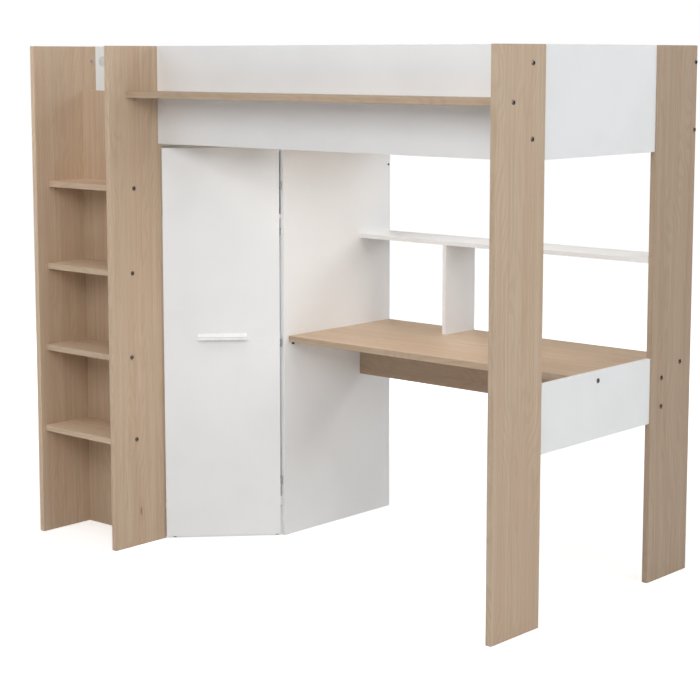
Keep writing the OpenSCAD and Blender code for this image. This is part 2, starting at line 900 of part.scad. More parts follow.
module door_handle() {
    color(white)
        doorway()
            translate([-door_w / 2, 0, handle_z])
                difference() {
                    translate([-handle_l / 2, 0, 0])
                        rotate([90, 0, 90])
                            linear_extrude(handle_l)
                                handle_section();
                    translate([-handle_l / 2 + handle_lip, 0, 0])
                        rotate([90, 0, 90])
                            linear_extrude(handle_l - 2 * handle_lip)
                                handle_hollow();
                    for (s = [-1, 1])
                        translate([s * handle_screw_x, -handle_screw_in - 0.5, handle_screw_up])
                            rotate([-90, 0, 0])
                                cylinder(h = handle_screw_in + 1.5, d = handle_screw_d + 2 * slip);
                }
}

module handle_screws() {
    color(steel)
        doorway()
            for (s = [-1, 1])
                translate([s * handle_screw_x - door_w / 2, 0, handle_z + handle_screw_up]) {
                    translate([0, -handle_screw_in, 0])
                        rotate([-90, 0, 0])
                            cylinder(h = handle_screw_in + door_t + 0.5, d = handle_screw_d);
                    translate([0, door_t, 0])
                        rotate([-90, 0, 0])
                            cylinder(h = screw_head_h, d = screw_head_d);
                }
}

// cup, its flange on the door and the link round the door's edge to the pin
module hinge_cup() {
    difference() {
        union() {
            translate([-cup_x, door_t - cup_depth + cup_sunk, 0])
                rotate([-90, 0, 0])
                    cylinder(h = cup_depth - cup_sunk, d = cup_d);
            translate([-cup_x - cup_d / 2, door_t, -knuckle_h / 2 - knuckle_end - flange_past])
                cube([cup_x + cup_d / 2 - 3, leaf_t, knuckle_h + 2 * (knuckle_end + flange_past)]);
            for (s = [-1, 1])
                translate([0, 0, s * (knuckle_h / 2 + knuckle_gap + knuckle_end / 2)])
                    hinge_link();
        }
        translate([-cup_x, door_t - cup_depth + cup_sunk + cup_wall, 0])
            rotate([-90, 0, 0])
                cylinder(h = cup_depth + 4, d = cup_d - 2 * cup_wall);
        pin_bore(hinge_px, hinge_py);
    }
}

// bore for the hinge pin through everything at one hinge
module pin_bore(x, y) {
    translate([x, y, -knuckle_h - knuckle_end])
        cylinder(h = 2 * (knuckle_h + knuckle_end), d = hinge_pin_d + slip);
}

module hinge_link() {
    translate([0, 0, -knuckle_end / 2]) {
        translate([hinge_px, hinge_py, 0])
            cylinder(h = knuckle_end, r = knuckle_r);
        translate([link_x, hinge_py, 0])
            cube([link_w, door_t + leaf_t - hinge_py, knuckle_end]);
        translate([-link_back, door_t, 0])
            cube([link_back + link_x + link_w, leaf_t, knuckle_end]);
    }
}

module hinge_cups() {
    color(steel)
        doorway()
            for (z = hinge_zs)
                translate([0, 0, z])
                    hinge_cup();
}

// plate on the wardrobe side, arm and the knuckle that carries the pin
module hinge_arms() {
    pin_x = door_x + hinge_px * cos(door_ang) - hinge_py * sin(door_ang);
    pin_y = door_y + hinge_px * sin(door_ang) + hinge_py * cos(door_ang);
    foot_x = x_robe_in + arm_foot[0];
    foot_y = y_robe_front + arm_foot[1];
    reach = norm([foot_x - pin_x, foot_y - pin_y]);
    lean = atan2(foot_y - pin_y, foot_x - pin_x);
    color(steel)
        for (z = hinge_zs)
            translate([0, 0, z])
                difference() {
                    union() {
                        translate([pin_x, pin_y, -knuckle_h / 2])
                            cylinder(h = knuckle_h, r = knuckle_r);
                        translate([pin_x, pin_y, -knuckle_h / 2])
                            rotate([0, 0, lean])
                                translate([0, -arm_t / 2, 0])
                                    cube([reach, arm_t, knuckle_h]);
                        arm_plate([0, plate_t], plate_y, plate_h);
                        arm_plate(bar_x, bar_y, plate_h);
                        arm_plate([0, plate_t], wing_y, wing_h);
                    }
                    pin_bore(pin_x, pin_y);
                }
}

// a block on the inner face of the wardrobe's right-hand side: its reach off the face, its reach
// behind the side's front edge, and its height
module arm_plate(off, behind, h) {
    slab(x_robe_in - off[1], x_robe_in - off[0], y_robe_front + behind[0],
        y_robe_front + behind[1], -h / 2, h / 2);
}

module hinge_pins() {
    color(steel)
        doorway()
            for (z = hinge_zs)
                translate([hinge_px, hinge_py, z - knuckle_h / 2 - knuckle_gap - knuckle_end])
                    cylinder(h = knuckle_h + 2 * (knuckle_gap + knuckle_end), d = hinge_pin_d);
}

module hanging_rail() {
    color(steel)
        translate([0, hang_y, hang_z])
            difference() {
                xrod(x_robe_li + socket_floor, x_robe_in - socket_floor, hang_d);
                xrod(x_robe_li + socket_floor - past, x_robe_in - socket_floor + past,
                    hang_d - 2 * hang_wall);
            }
}

// cups that hold the hanging rail, open at the top
module rail_sockets() {
    color(steel)
        for (side = [-1, 1])
            translate([side < 0 ? x_robe_li : x_robe_in - socket_l, hang_y, hang_z])
                difference() {
                    xrod(0, socket_l, hang_d + 2 * socket_wall);
                    translate([-side * socket_floor, 0, 0])
                        xrod(0, socket_l, hang_d + 2 * slip);
                    translate([-side * socket_floor, -hang_d / 2 - slip, 0])
                        cube([socket_l, hang_d + 2 * slip, hang_d]);
                }
}

// ---------- bed base ----------

module rail_screw_places(y) {
    pitch = (x_ri - x_li - 2 * rail_screw_end) / (rail_screw_n - 1);
    for (i = [0:rail_screw_n - 1])
        translate([x_li + rail_screw_end + i * pitch, y, rail_z + rail_h / 2])
            children();
}

// a rail whose front face is at y, with its screw holes
module slat_rail(y) {
    color(beech)
        difference() {
            slab(x_li, x_ri, y, y + rail_t, rail_z, rail_z + rail_h);
            rail_screw_places(y - past)
                rotate([-90, 0, 0])
                    cylinder(h = rail_t + 2 * past, d = rail_screw_hole);
        }
}

module slat_rail_front() {
    slat_rail(y_in);
}

module slat_rail_rear() {
    slat_rail(y_rear_in - rail_t);
}

module rail_screw() {
    cylinder(h = rail_t, d = rail_screw_d);
    translate([0, 0, -rail_head_h])
        cylinder(h = rail_head_h, d = rail_head_d);
}

// screws through the rails, their heads on the mattress side
module rail_screws() {
    color(steel) {
        rail_screw_places(y_in + rail_t)
            rotate([90, 0, 0])
                rail_screw();
        rail_screw_places(y_rear_in - rail_t)
            rotate([-90, 0, 0])
                rail_screw();
    }
}

module slats() {
    color(beech)
        for (i = [0:slat_n - 1])
            slab(slat_x0 + i * slat_pitch, slat_x0 + i * slat_pitch + slat_w, y_in + slat_play,
                y_rear_in - slat_play, slat_z, slat_z + slat_t);
}

// two fabric straps under the slats, which keep them apart
module slat_straps() {
    color(white)
        for (y = [y_in + strap_in, y_rear_in - strap_in - strap_w])
            slab(slat_x0 + strap_end, slat_x0 + (slat_n - 1) * slat_pitch + slat_w - strap_end,
                y, y + strap_w, slat_z - strap_t, slat_z);
}

// ---------- fasteners ----------

module frame_bolts() {
    color(steel)
        for (j = all_bolts)
            bolt(j);
}

module cross_nuts() {
    color(steel)
        for (j = all_bolts)
            cross_nut(j);
}

module connector_rods() {
    color(steel)
        for (j = all_connectors)
            connector_rod(j);
}

module connector_nuts() {
    color(steel)
        for (j = all_connectors)
            connector_nut(j);
}

module connector_caps() {
    color(white)
        for (j = all_connectors)
            connector_cap(j);
}

module cam_locks() {
    color(steel)
        for (j = all_cams)
            cam_lock(j);
}

module cam_pins() {
    color(steel)
        for (j = all_cams)
            cam_pin(j);
}

module dowels() {
    color(beech)
        for (j = all_dowels)
            dowel(j);
}

// pins that a board rests on, standing out of a side face
module pin_pair(x, side, y0, y1, z) {
    for (y = [y0, y1])
        translate([x, y, z - pin_d / 2])
            xrod(side > 0 ? 0 : -pin_l, side > 0 ? pin_l : 0, pin_d);
}

module shelf_pins() {
    color(steel) {
        for (i = [0:3])
            for (e = [[x_li, 1], [x_fl_in, -1]])
                pin_pair(e[0], e[1], y_steps - step_d(i) + step_pin_in[0], y_steps - step_pin_in[1],
                    step_mid(i) - wood_t / 2);
        for (e = [[x_fl, 1], [x_ri, -1]])
            pin_pair(e[0], e[1], y_bedside + bedside_pin_in[0], y_in - white_t - bedside_pin_in[1],
                shelf_z - wood_t);
        for (e = [[x_robe_li, 1], [x_robe_in, -1]])
            pin_pair(e[0], e[1], y_robe_front + hat_pin_in[0], y_robe_back - hat_pin_in[1],
                hat_shelf_z);
    }
}

// black pins under the desk's left end
module desk_pins() {
    color(black)
        for (y = [y_desk_front + desk_pin_in, y_desk_front + desk_depth * 0.45])
            translate([x_robe, y, desk_z - wood_t - desk_pin_d / 2])
                xrod(0, desk_pin_l, desk_pin_d);
}

post_front_right();
post_rear_right();
post_front_left();
post_rear_left();
ladder_side_panel();
ladder_back_panel();
ladder_step(0);  // ladder_step_1
ladder_step(1);  // ladder_step_2
ladder_step(2);  // ladder_step_3
ladder_step(3);  // ladder_step_4
guard_board_front();
board_rear();
end_panel_upper_right();
end_panel_lower_right();
end_panel_upper_left();
bedside_shelf();
desk_top();
modesty_rail();
hutch_shelf();
hutch_divider();
wardrobe_side_right();
wardrobe_side_left();
wardrobe_back();
wardrobe_floor();
wardrobe_top();
wardrobe_hat_shelf();
wardrobe_stretcher();
wardrobe_plinth();
plinth_glides();
hanging_rail();
rail_sockets();
wardrobe_door();
door_handle();
handle_screws();
hinge_cups();
hinge_arms();
hinge_pins();
slat_rail_front();
slat_rail_rear();
rail_screws();
slats();
slat_straps();
frame_bolts();
cross_nuts();
connector_rods();
connector_nuts();
connector_caps();
cam_locks();
cam_pins();
dowels();
shelf_pins();
desk_pins();
stretcher_screws();
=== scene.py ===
"""Looks for the loft bed with desk, wardrobe and ladder: materials, softened board edges, light, camera.

Units are metres, and named angles are degrees. The bed stands on z = 0, its wall side faces +Y and
its desk end faces +X.
"""

import math

import bpy
from mathutils import Euler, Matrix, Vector


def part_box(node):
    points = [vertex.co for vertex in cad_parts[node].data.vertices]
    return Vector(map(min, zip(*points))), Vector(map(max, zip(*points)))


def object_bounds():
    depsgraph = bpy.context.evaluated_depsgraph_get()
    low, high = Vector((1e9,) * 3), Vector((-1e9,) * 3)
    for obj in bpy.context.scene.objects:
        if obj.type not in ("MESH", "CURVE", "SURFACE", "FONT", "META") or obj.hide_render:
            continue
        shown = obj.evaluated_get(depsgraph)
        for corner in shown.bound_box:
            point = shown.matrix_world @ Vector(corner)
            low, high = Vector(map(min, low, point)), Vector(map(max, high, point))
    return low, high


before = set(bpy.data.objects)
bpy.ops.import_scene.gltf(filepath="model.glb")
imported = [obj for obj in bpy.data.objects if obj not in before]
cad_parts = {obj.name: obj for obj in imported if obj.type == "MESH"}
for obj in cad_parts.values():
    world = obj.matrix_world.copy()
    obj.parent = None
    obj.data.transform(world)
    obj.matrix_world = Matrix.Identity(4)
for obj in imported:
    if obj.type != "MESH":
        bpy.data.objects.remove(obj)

cad_low, cad_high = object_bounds()


# ---------------------------------------------------------------- colours

def tone(red, green, blue):
    """A colour given in screen values from 0 to 255, as the linear values that a shader takes."""
    def linear(value):
        value /= 255
        return value / 12.92 if value <= 0.04045 else ((value + 0.055) / 1.055) ** 2.4
    return (linear(red), linear(green), linear(blue), 1.0)


OAK_PALE = tone(206, 186, 162)
OAK_WARM = tone(203, 178, 155)
OAK_TAN = tone(193, 168, 141)
OAK_LATE = tone(168, 139, 112)
OAK_KNOT = tone(118, 86, 64)
WHITE_FOIL = tone(243, 244, 245)
WHITE_FOIL_SHADE = tone(240, 241, 242)
PINE_PALE = tone(226, 200, 160)
PINE_LATE = tone(196, 158, 112)
# Handle: white plastic, brightened to full white as painted light for its lit top.
HANDLE_BRIGHTENED_WHITE = tone(254, 254, 254)
CAP_WHITE = tone(222, 222, 220)
GLIDE_GREY = tone(150, 143, 140)
NICKEL = tone(196, 196, 198)
# Bolt heads: darker than their plating alone, partly dark nickel and partly painted shade for the shadowed
# recess round each head.
DARK_NICKEL_AND_RECESS_SHADE = tone(128, 121, 116)
BLACK_OXIDE = tone(24, 24, 25)
STRAP_WHITE = tone(226, 225, 219)
STRAP_SHADE = tone(196, 194, 186)


def dimmed(colour, share):
    """The colour made darker by a share under 1, or lighter by one over 1."""
    return tuple(channel * share for channel in colour[:3]) + (1.0,)


# ---------------------------------------------------------------- sizes and strengths of the looks

# Oak foil: the cells of its noise, as sizes through the board, across the grain and along it.
OAK_CELLS = {
    "bend": (0.16, 0.16, 0.62),         # how the middle line of the rings wanders across
    "sway": (0.05, 0.05, 0.30),         # how it wanders in depth
    "streak": (0.014, 0.014, 0.9),      # brown streaks
    "band": (0.050, 0.050, 1.6),        # broad paler and warmer bands
    "line": (0.0022, 0.0022, 0.16),     # fine lines of the grain
    "pore": (0.0006, 0.0006, 0.011),    # short dark pores
    "knot": (0.20, 0.105, 0.36),        # one knot at most in each
}
# How strongly each mark colours the foil. A halo and a core make a knot.
OAK_MARKS = {"streak": 0.75, "ring": 0.17, "line": 0.32, "pore": 0.22, "halo": 0.22, "core": 0.65}
OAK_RING_PITCH = 0.0105
OAK_HEART_OFF = 0.055       # most that the rings' middle line lies off the board's, and leans per metre
OAK_HEART_DEEP = 0.030      # how deep it lies, more or less OAK_HEART_VARY
OAK_HEART_VARY = 0.012
OAK_BEND_WIDTH = 0.20       # full width of the wander across, and in depth
OAK_SWAY_WIDTH = 0.05
KNOT_SHARE = 0.55           # share of the knot cells that hold one
PORE_DEPTH = 0.00006

PINE_BEND_CELL = (0.07, 0.07, 0.5)
PINE_LINE_CELL = (0.0008, 0.0008, 0.05)
PINE_BEND_WIDTH = 0.05
PINE_HEART_DEEP = 0.035
PINE_RING_PITCH = 0.0042
PINE_FIBRE_DEPTH = 0.00008

MOTTLE_CELL = 0.22
PEARL_CELL = 0.0011
PEARL_DEPTH = 0.00003
DRAWN_CELL = (0.0008, 0.0008, 0.006)
DRAWN_DEPTH = 0.00002
PLATING_CLOUD = 0.004
PLASTIC_CLOUD = 0.03
WEAVE_PITCH = 0.0022        # one thread over and one under
WEAVE_DEPTH = 0.0002


# ---------------------------------------------------------------- node trees

class Shader:
    """A material, built one node at a time. Distances in it are metres of the row frame."""

    def __init__(self, name):
        self.material = bpy.data.materials.new(name)
        self.material.use_nodes = True
        self.tree = self.material.node_tree
        self.surface = self.tree.nodes["Principled BSDF"]

    def node(self, kind, settings=None, **inputs):
        """A new node, with its own settings and with its input sockets fed by name."""
        made = self.tree.nodes.new("ShaderNode" + kind)
        for name, value in (settings or {}).items():
            setattr(made, name, value)
        for name, value in inputs.items():
            self.feed(made.inputs[name.replace("_", " ")], value)
        return made

    def feed(self, socket, value):
        """Links another node's output, or sets a fixed value."""
        if isinstance(value, bpy.types.NodeSocket):
            self.tree.links.new(value, socket)
        else:
            socket.default_value = value

    def calc(self, operation, *values):
        """The output of one step of arithmetic."""
        made = self.tree.nodes.new("ShaderNodeMath")
        made.operation = operation
        for socket, value in zip(made.inputs, values):
            self.feed(socket, value)
        return made.outputs[0]

    def place(self, centre=(0, 0, 0)):
        """The point on the surface, measured from centre, as three outputs."""
        coordinates = self.node("TexCoord").outputs["Object"]
        shifted = self.node("VectorMath", {"operation": "SUBTRACT"})
        self.feed(shifted.inputs[0], coordinates)
        self.feed(shifted.inputs[1], tuple(centre))
        split = self.node("SeparateXYZ", Vector=shifted.outputs[0])
        return split.outputs[0], split.outputs[1], split.outputs[2]

    def point(self, x, y, z):
        """Three outputs as one vector."""
        return self.node("CombineXYZ", X=x, Y=y, Z=z).outputs[0]

    def cells(self, point, sizes, seed=0.0):
        """The point counted in cells of these sizes, so that one unit of noise is one cell."""
        mapping = self.node("Mapping", {"vector_type": "POINT"}, Vector=point)
        mapping.inputs["Scale"].default_value = [1 / size for size in sizes]
        mapping.inputs["Location"].default_value = (seed * 7.31, seed * 3.77, seed * 5.13)
        return mapping.outputs[0]

    def noise(self, point, sizes, seed=0.0, detail=2.0, roughness=0.5):
        """Soft noise from 0 to 1 in cells of these sizes."""
        return self.node("TexNoise", Vector=self.cells(point, sizes, seed), Scale=1.0,
                         Detail=detail, Roughness=roughness).outputs["Fac"]

    def ramp(self, value, low, high, to_low=0.0, to_high=1.0):
        """Value from low to high becomes to_low to to_high, smoothly, and stays there outside."""
        made = self.node("MapRange", {"interpolation_type": "SMOOTHSTEP"}, Value=value,
                         From_Min=low, From_Max=high, To_Min=to_low, To_Max=to_high)
        return made.outputs["Result"]

    def mix(self, share, first, second):
        """The first colour where share is 0, and the second where it is 1."""
        made = self.tree.nodes.new("ShaderNodeMix")
        made.data_type = "RGBA"
        for index, value in ((0, share), (6, first), (7, second)):
            self.feed(made.inputs[index], value)
        return made.outputs[2]

    def wander(self, value, noise, width):
        """Value moved either way by noise, within this full width."""
        return self.calc("MULTIPLY_ADD", self.calc("SUBTRACT", noise, 0.5), width, value)

    def reach(self, first, second):
        """How far a point lies from the origin of a plane, from its two coordinates there."""
        squares = (self.calc("MULTIPLY", first, first), self.calc("MULTIPLY", second, second))
        return self.calc("SQRT", self.calc("ADD", *squares))

    def bump(self, height, depth):
        """Height from 0 to 1 raises the surface by depth."""
        made = self.node("Bump", Height=height, Distance=depth, Strength=1.0)
        self.feed(self.surface.inputs["Normal"], made.outputs[0])

    def finish(self, colour, roughness, **fixed):
        """The material, with this colour and roughness and other inputs of the surface fixed by name."""
        self.feed(self.surface.inputs["Base Color"], colour)
        self.feed(self.surface.inputs["Roughness"], roughness)
        for name, value in fixed.items():
            self.surface.inputs[name.replace("_", " ")].default_value = value
        return self.material


# ---------------------------------------------------------------- materials

def along_grain(shader, grain, centre):
    """The surface point as (through, across, along), where along is the grain's own axis."""
    x, y, z = shader.place(centre)
    return {"X": (z, y, x), "Y": (z, x, y), "Z": (x, y, z)}[grain]


def oak_rings(shader, through, across, along, bend, sway, seed):
    """1 on the late wood of growth rings round a line that wanders along the board, and 0 between them."""
    tilt = OAK_HEART_OFF * math.sin(seed * 2.4)
    heart = OAK_HEART_OFF * math.sin(seed * 1.7)
    shifted = shader.calc("MULTIPLY_ADD", along, tilt, heart)
    shifted = shader.calc("ADD", shifted, across)
    shifted = shader.wander(shifted, bend, OAK_BEND_WIDTH)
    depth = shader.calc("ADD", through, OAK_HEART_DEEP + OAK_HEART_VARY * math.sin(seed * 3.1))
    depth = shader.wander(depth, sway, OAK_SWAY_WIDTH)
    turns = shader.calc("MULTIPLY", shader.reach(shifted, depth), 2 * math.pi / OAK_RING_PITCH)
    return shader.ramp(shader.calc("SINE", turns), -0.4, 1.0)


def oak_knots(shader, point, colour, late, knot, seed):
    """The colour with a small dark knot and its brown halo in some of the cells."""
    spots = shader.node("TexVoronoi", {"feature": "F1"}, Scale=1.0, Randomness=1.0,
                        Vector=shader.cells(point, OAK_CELLS["knot"], seed))
    draw = shader.node("SeparateColor", Color=spots.outputs["Color"]).outputs[0]
    chosen = shader.calc("GREATER_THAN", draw, 1 - KNOT_SHARE)
    halo = shader.calc("MULTIPLY", shader.ramp(spots.outputs["Distance"], 0.21, 0.03), chosen)
    core = shader.calc("MULTIPLY", shader.ramp(spots.outputs["Distance"], 0.065, 0.02), chosen)
    colour = shader.mix(shader.calc("MULTIPLY", halo, OAK_MARKS["halo"]), colour, late)
    return shader.mix(shader.calc("MULTIPLY", core, OAK_MARKS["core"]), colour, knot)


def painted_edge_light(shader, colour, thin, edge_light_share):
    """The colour, scaled on the board's edges, where they don't face along thin: painted light and shade,
    edges lighter or darker than the faces for how light falls on them.
    """
    facing = shader.node("SeparateXYZ", Vector=shader.node("TexCoord").outputs["Normal"]).outputs[thin]
    edge = shader.ramp(shader.calc("ABSOLUTE", facing), 0.6, 0.4)
    edge_lit_colour = shader.node("VectorMath", {"operation": "SCALE"}, Scale=edge_light_share)
    shader.feed(edge_lit_colour.inputs[0], colour)
    return shader.mix(edge, colour, edge_lit_colour.outputs[0])


def oak(name, grain, centre, seed, thin, shade, edge_light_share):
    """Matt oak foil: soft streaks, faint cathedral rings, a few small knots and fine pores along the grain.

    Shade scales every colour of this board as painted light and shade, for how much light reaches it beside
    the others, and the last argument scales its edges the same way, as painted light and shade beside its
    faces. Thin is the axis of its thickness.
    """
    shader = Shader(name)
    # Painted light and shade: every colour of this board is scaled by shade, for how much light reaches it
    # beside the others.
    pale, warm, tan, late, knot = (dimmed(colour, shade)
                                   for colour in (OAK_PALE, OAK_WARM, OAK_TAN, OAK_LATE, OAK_KNOT))
    through, across, along = along_grain(shader, grain, centre)
    point = shader.point(through, across, along)

    bend = shader.noise(point, OAK_CELLS["bend"], seed)
    sway = shader.noise(point, OAK_CELLS["sway"], seed + 4)
    ring = oak_rings(shader, through, across, along, bend, sway, seed)
    streak = shader.noise(point, OAK_CELLS["streak"], seed + 1, detail=3, roughness=0.55)
    band = shader.noise(point, OAK_CELLS["band"], seed + 2)
    line = shader.noise(point, OAK_CELLS["line"], seed + 3, detail=3, roughness=0.6)
    pore = shader.ramp(shader.noise(point, OAK_CELLS["pore"], seed + 5, detail=1), 0.56, 0.70)

    colour = shader.mix(shader.ramp(band, 0.36, 0.64), pale, warm)
    colour = shader.mix(shader.ramp(streak, 0.36, 0.74, to_high=OAK_MARKS["streak"]), colour, tan)
    colour = shader.mix(shader.calc("MULTIPLY", ring, OAK_MARKS["ring"]), colour, late)
    colour = shader.mix(shader.ramp(line, 0.45, 0.80, to_high=OAK_MARKS["line"]), colour, late)
    colour = shader.mix(shader.calc("MULTIPLY", pore, OAK_MARKS["pore"]), colour, late)
    colour = oak_knots(shader, point, colour, late, knot, seed + 6)
    # Painted light and shade: the edges are made lighter or darker than the faces, for how light falls on
    # them.
    colour = painted_edge_light(shader, colour, thin, edge_light_share)

    shader.bump(shader.calc("SUBTRACT", shader.calc("MULTIPLY", line, 0.5), pore), PORE_DEPTH)
    roughness = shader.calc("MULTIPLY_ADD", line, 0.16, 0.46)
    return shader.finish(colour, roughness, Specular_IOR_Level=0.35)


def white_foil(name, seed):
    """White melamine foil: almost even, with a faint mottle, a fine pearl and slightly uneven gloss."""
    shader = Shader(name)
    point = shader.point(*shader.place())
    mottle = shader.noise(point, (MOTTLE_CELL,) * 3, seed, detail=3)
    pearl = shader.noise(point, (PEARL_CELL,) * 3, seed + 1)
    colour = shader.mix(shader.ramp(mottle, 0.35, 0.70), WHITE_FOIL, WHITE_FOIL_SHADE)
    shader.bump(pearl, PEARL_DEPTH)
    roughness = shader.calc("MULTIPLY_ADD", mottle, 0.10, 0.36)
    return shader.finish(colour, roughness, Specular_IOR_Level=0.40)


def pine(name, grain, centre, seed):
    """Planed softwood: clear rings, pale between them, with a dry matt surface."""
    shader = Shader(name)
    through, across, along = along_grain(shader, grain, centre)
    point = shader.point(through, across, along)
    bend = shader.noise(point, PINE_BEND_CELL, seed)
    shifted = shader.wander(across, bend, PINE_BEND_WIDTH)
    depth = shader.calc("ADD", through, PINE_HEART_DEEP)
    turns = shader.calc("MULTIPLY", shader.reach(shifted, depth), 1 / PINE_RING_PITCH)
    late = shader.ramp(shader.calc("FRACT", turns), 0.35, 0.95)
    line = shader.noise(point, PINE_LINE_CELL, seed + 1, detail=3)
    colour = shader.mix(shader.calc("MULTIPLY", late, 0.45), PINE_PALE, PINE_LATE)
    colour = shader.mix(shader.ramp(line, 0.45, 0.75, to_high=0.35), colour, PINE_LATE)
    shader.bump(line, PINE_FIBRE_DEPTH)
    roughness = shader.calc("MULTIPLY_ADD", line, 0.15, 0.55)
    return shader.finish(colour, roughness, Specular_IOR_Level=0.30)


def moulded(name, base, roughness, grain_size, depth):
    """Moulded plastic: a fine spark-eroded texture and a faint change of shade."""
    shader = Shader(name)
    point = shader.point(*shader.place())
    texture = shader.noise(point, (grain_size,) * 3)
    cloud = shader.noise(point, (PLASTIC_CLOUD,) * 3, 2)
    colour = shader.mix(shader.ramp(cloud, 0.35, 0.7), base, dimmed(base, 0.93))
    shader.bump(texture, depth)
    uneven = shader.calc("MULTIPLY_ADD", texture, 0.12, roughness)
    return shader.finish(colour, uneven, Specular_IOR_Level=0.50)


def plated(name, base, roughness, metallic=1.0):
    """Plated or oxidised steel: drawn lines, small clouds in the gloss and a fine bump."""
    shader = Shader(name)
    point = shader.point(*shader.place())
    drawn = shader.noise(point, DRAWN_CELL, detail=3)
    cloud = shader.noise(point, (PLATING_CLOUD,) * 3, 3)
    colour = shader.mix(shader.ramp(cloud, 0.35, 0.75), base, dimmed(base, 0.72))
    shader.bump(drawn, DRAWN_DEPTH)
    uneven = shader.calc("MULTIPLY_ADD", cloud, 0.25, roughness)
    return shader.finish(colour, uneven, Metallic=metallic)


def webbing(name):
    """Woven polyester strap: a plain weave about 1 mm square, with painted shade in the dips between
    threads.
    """
    shader = Shader(name)
    x, y, _ = shader.place()
    pitch = 2 * math.pi / WEAVE_PITCH
    weft = shader.calc("SINE", shader.calc("MULTIPLY", x, pitch))
    warp = shader.calc("SINE", shader.calc("MULTIPLY", y, pitch))
    weave = shader.calc("MULTIPLY_ADD", shader.calc("MULTIPLY", weft, warp), 0.5, 0.5)
    # Painted shade: the colour darkens where the weave's bump dips.
    colour = shader.mix(weave, STRAP_SHADE, STRAP_WHITE)
    shader.bump(weave, WEAVE_DEPTH)
    return shader.finish(colour, shader.calc("MULTIPLY_ADD", weave, -0.1, 0.9), Sheen_Weight=0.2)


# ---------------------------------------------------------------- which node wears what

# Oak boards: the axis that the grain runs along, then painted light and shade: how much lighter or darker
# the whole board is painted beside the others, for how much light reaches it, and how much lighter or
# darker its edges are painted beside its faces.
OAK_BOARDS = {
    "post_front_right": ("Z", 0.99, 0.93), "post_rear_right": ("Z", 0.79, 0.93),
    "post_front_left": ("Z", 1.02, 1.16), "post_rear_left": ("Z", 0.96, 1.10),
    "ladder_side_panel": ("Z", 1.07, 1.30), "ladder_back_panel": ("Z", 1.09, 1.00),
    "ladder_step_1": ("X", 1.22, 1.00), "ladder_step_2": ("X", 1.06, 1.00),
    "ladder_step_3": ("X", 1.11, 1.00), "ladder_step_4": ("X", 1.13, 1.00),
    "bedside_shelf": ("X", 0.82, 1.05), "desk_top": ("X", 1.05, 0.85),
    "modesty_rail": ("X", 0.80, 1.00),
}
WHITE_BOARDS = [
    "guard_board_front", "board_rear", "end_panel_upper_right", "end_panel_lower_right",
    "end_panel_upper_left", "hutch_shelf", "hutch_divider", "wardrobe_side_right",
    "wardrobe_side_left", "wardrobe_back", "wardrobe_floor", "wardrobe_top", "wardrobe_hat_shelf",
    "wardrobe_stretcher", "wardrobe_plinth", "wardrobe_door",
]
PINE_PIECES = {"slats": "Y", "slat_rail_front": "X", "slat_rail_rear": "X", "dowels": "X"}
NICKEL_PIECES = [
    "hanging_rail", "rail_sockets", "handle_screws", "hinge_cups", "hinge_arms", "hinge_pins",
    "rail_screws", "cross_nuts", "connector_rods", "connector_nuts", "cam_locks",
    "cam_pins", "shelf_pins",
]
BLACK_PIECES = ["desk_pins", "stretcher_screws"]


def wear(name, material):
    """Gives a CAD node this material alone."""
    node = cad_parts[name]
    node.data.materials.clear()
    node.data.materials.append(material)


def centre_of(name):
    """The middle of a CAD node's box."""
    low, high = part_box(name)
    return (low + high) / 2


def thin_axis(name):
    """The number of the axis along which a board is thinnest."""
    low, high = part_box(name)
    sizes = list(high - low)
    return sizes.index(min(sizes))


def dress():
    """Gives every CAD node its material."""
    for seed, (name, (grain, shade, edge_light_share)) in enumerate(OAK_BOARDS.items()):
        wear(name, oak("oak_" + name, grain, centre_of(name), seed, thin_axis(name), shade, edge_light_share))
    for seed, name in enumerate(WHITE_BOARDS):
        wear(name, white_foil("white_" + name, seed))
    for seed, (name, grain) in enumerate(PINE_PIECES.items()):
        wear(name, pine("pine_" + name, grain, centre_of(name), seed))
    nickel = plated("nickel_steel", NICKEL, roughness=0.22)
    for name in NICKEL_PIECES:
        wear(name, nickel)
    # The bolt heads' dark colour is partly painted shade of their recesses.
    wear("frame_bolts", plated("dark_nickel_recess_shade_steel", DARK_NICKEL_AND_RECESS_SHADE, roughness=0.14))
    black = plated("black_steel", BLACK_OXIDE, roughness=0.38, metallic=0.6)
    for name in BLACK_PIECES:
        wear(name, black)
    wear("door_handle", moulded("handle_plastic", HANDLE_BRIGHTENED_WHITE, roughness=0.26,
                                grain_size=0.0008, depth=0.00001))
    wear("connector_caps", moulded("cap_plastic", CAP_WHITE, roughness=0.38,
                                   grain_size=0.0006, depth=0.00002))
    wear("plinth_glides", moulded("glide_plastic", GLIDE_GREY, roughness=0.50,
                                  grain_size=0.0006, depth=0.00003))
    wear("slat_straps", webbing("strap_weave"))


# ---------------------------------------------------------------- softened edges

# How wide the edges of each kind of piece are rounded.
OAK_EDGE = 0.002
DESK_TOP_EDGE = 0.003
WHITE_EDGE = 0.0008
SLAT_EDGE = 0.002
SLAT_RAIL_EDGE = 0.0015
HANDLE_EDGE = 0.001
ROUND_STEPS = 3         # bevel steps on the oak boards and the handle, and 2 elsewhere
SHORTEST_EDGE = 0.004   # shorter ones are the facets of a drilled hole's rim
LEAST_BEND = 40         # faces that meet at less are one curved face
FLAT_WITHIN = 0.5       # faces that meet at less are one flat face
WELD_WITHIN = 0.00001


